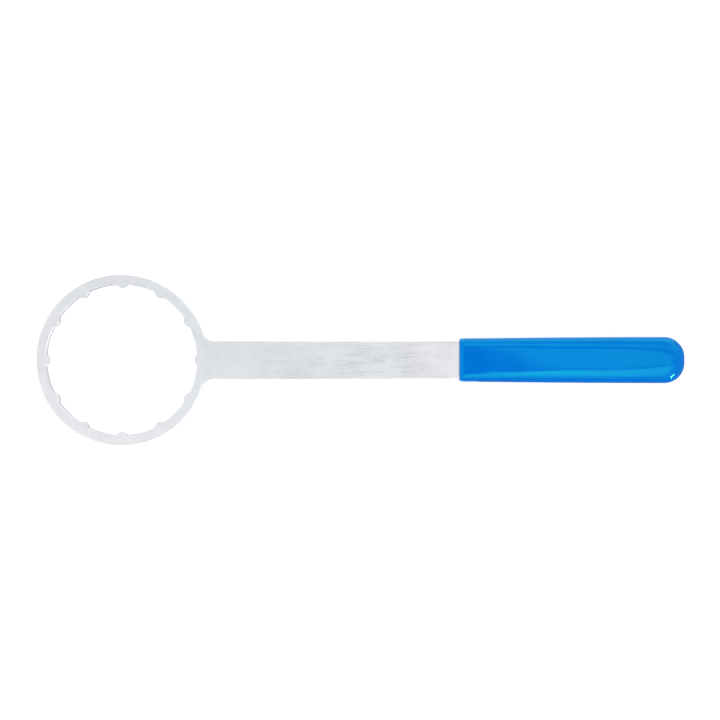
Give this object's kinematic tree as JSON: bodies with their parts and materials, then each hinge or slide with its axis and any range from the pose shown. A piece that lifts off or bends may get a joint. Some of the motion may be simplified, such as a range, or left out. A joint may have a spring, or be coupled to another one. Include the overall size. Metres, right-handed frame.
{
  "type": "cup filter wrench",
  "caption": "Flat steel ring wrench with a lobed bore for turning fluted filter cups, on a straight flat bar with a dipped vinyl grip.",
  "frame": {"origin": "centre of the ring, halfway through the thickness of the plate", "axes": "+X from the ring's centre along the bar to the grip, +Z along the ring's axis, +Y across the bar in the plane of the plate"},
  "size_m": [0.4262, 0.112, 0.0104],
  "materials": {
    "steel_plate": "satin",
    "blue_vinyl": "gloss"
  },
  "bodies": {
    "root": {"wrench_body": "steel_plate", "grip_sleeve": "blue_vinyl"}
  },
  "joints": []
}
